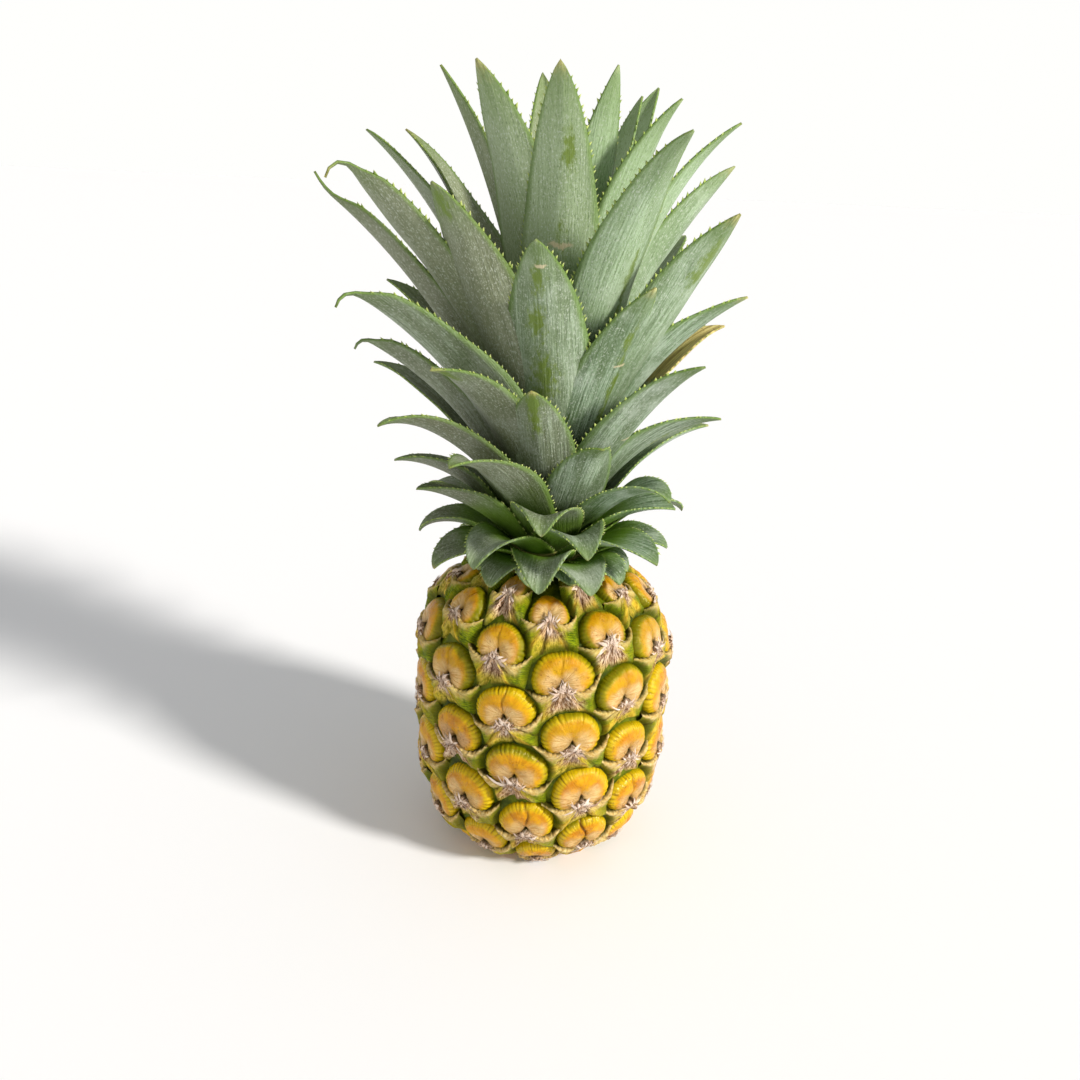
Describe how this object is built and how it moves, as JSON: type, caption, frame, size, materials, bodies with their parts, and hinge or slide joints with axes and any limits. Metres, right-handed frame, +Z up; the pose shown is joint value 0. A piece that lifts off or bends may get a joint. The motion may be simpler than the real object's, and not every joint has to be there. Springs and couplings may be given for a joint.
{
  "type": "pineapple",
  "caption": "Whole ripe pineapple standing on its cut base: a barrel-shaped fruit covered with domed eyes in spiral rows, under a tall crown of toothed leaves.",
  "frame": {"origin": "middle of the flat base where the stalk was cut, on the surface the fruit stands on", "axes": "+Z up along the fruit's axis and out through the crown; -Y towards the side that the picture shows, so +X is to its right"},
  "size_m": [0.1698, 0.1499, 0.3369],
  "materials": {
    "rind": "waxy ripe rind: orange-yellow domed eyes with crinkled rims, dark green grooves and dry grey-tan bract fibres",
    "leaf": "leathery leaf: silvery grey-green bloom outside with fine lengthwise lines, dark green inside, yellow-green toothed edges"
  },
  "bodies": {
    "root": {"fruit": "rind", "crown": "leaf"}
  },
  "joints": []
}
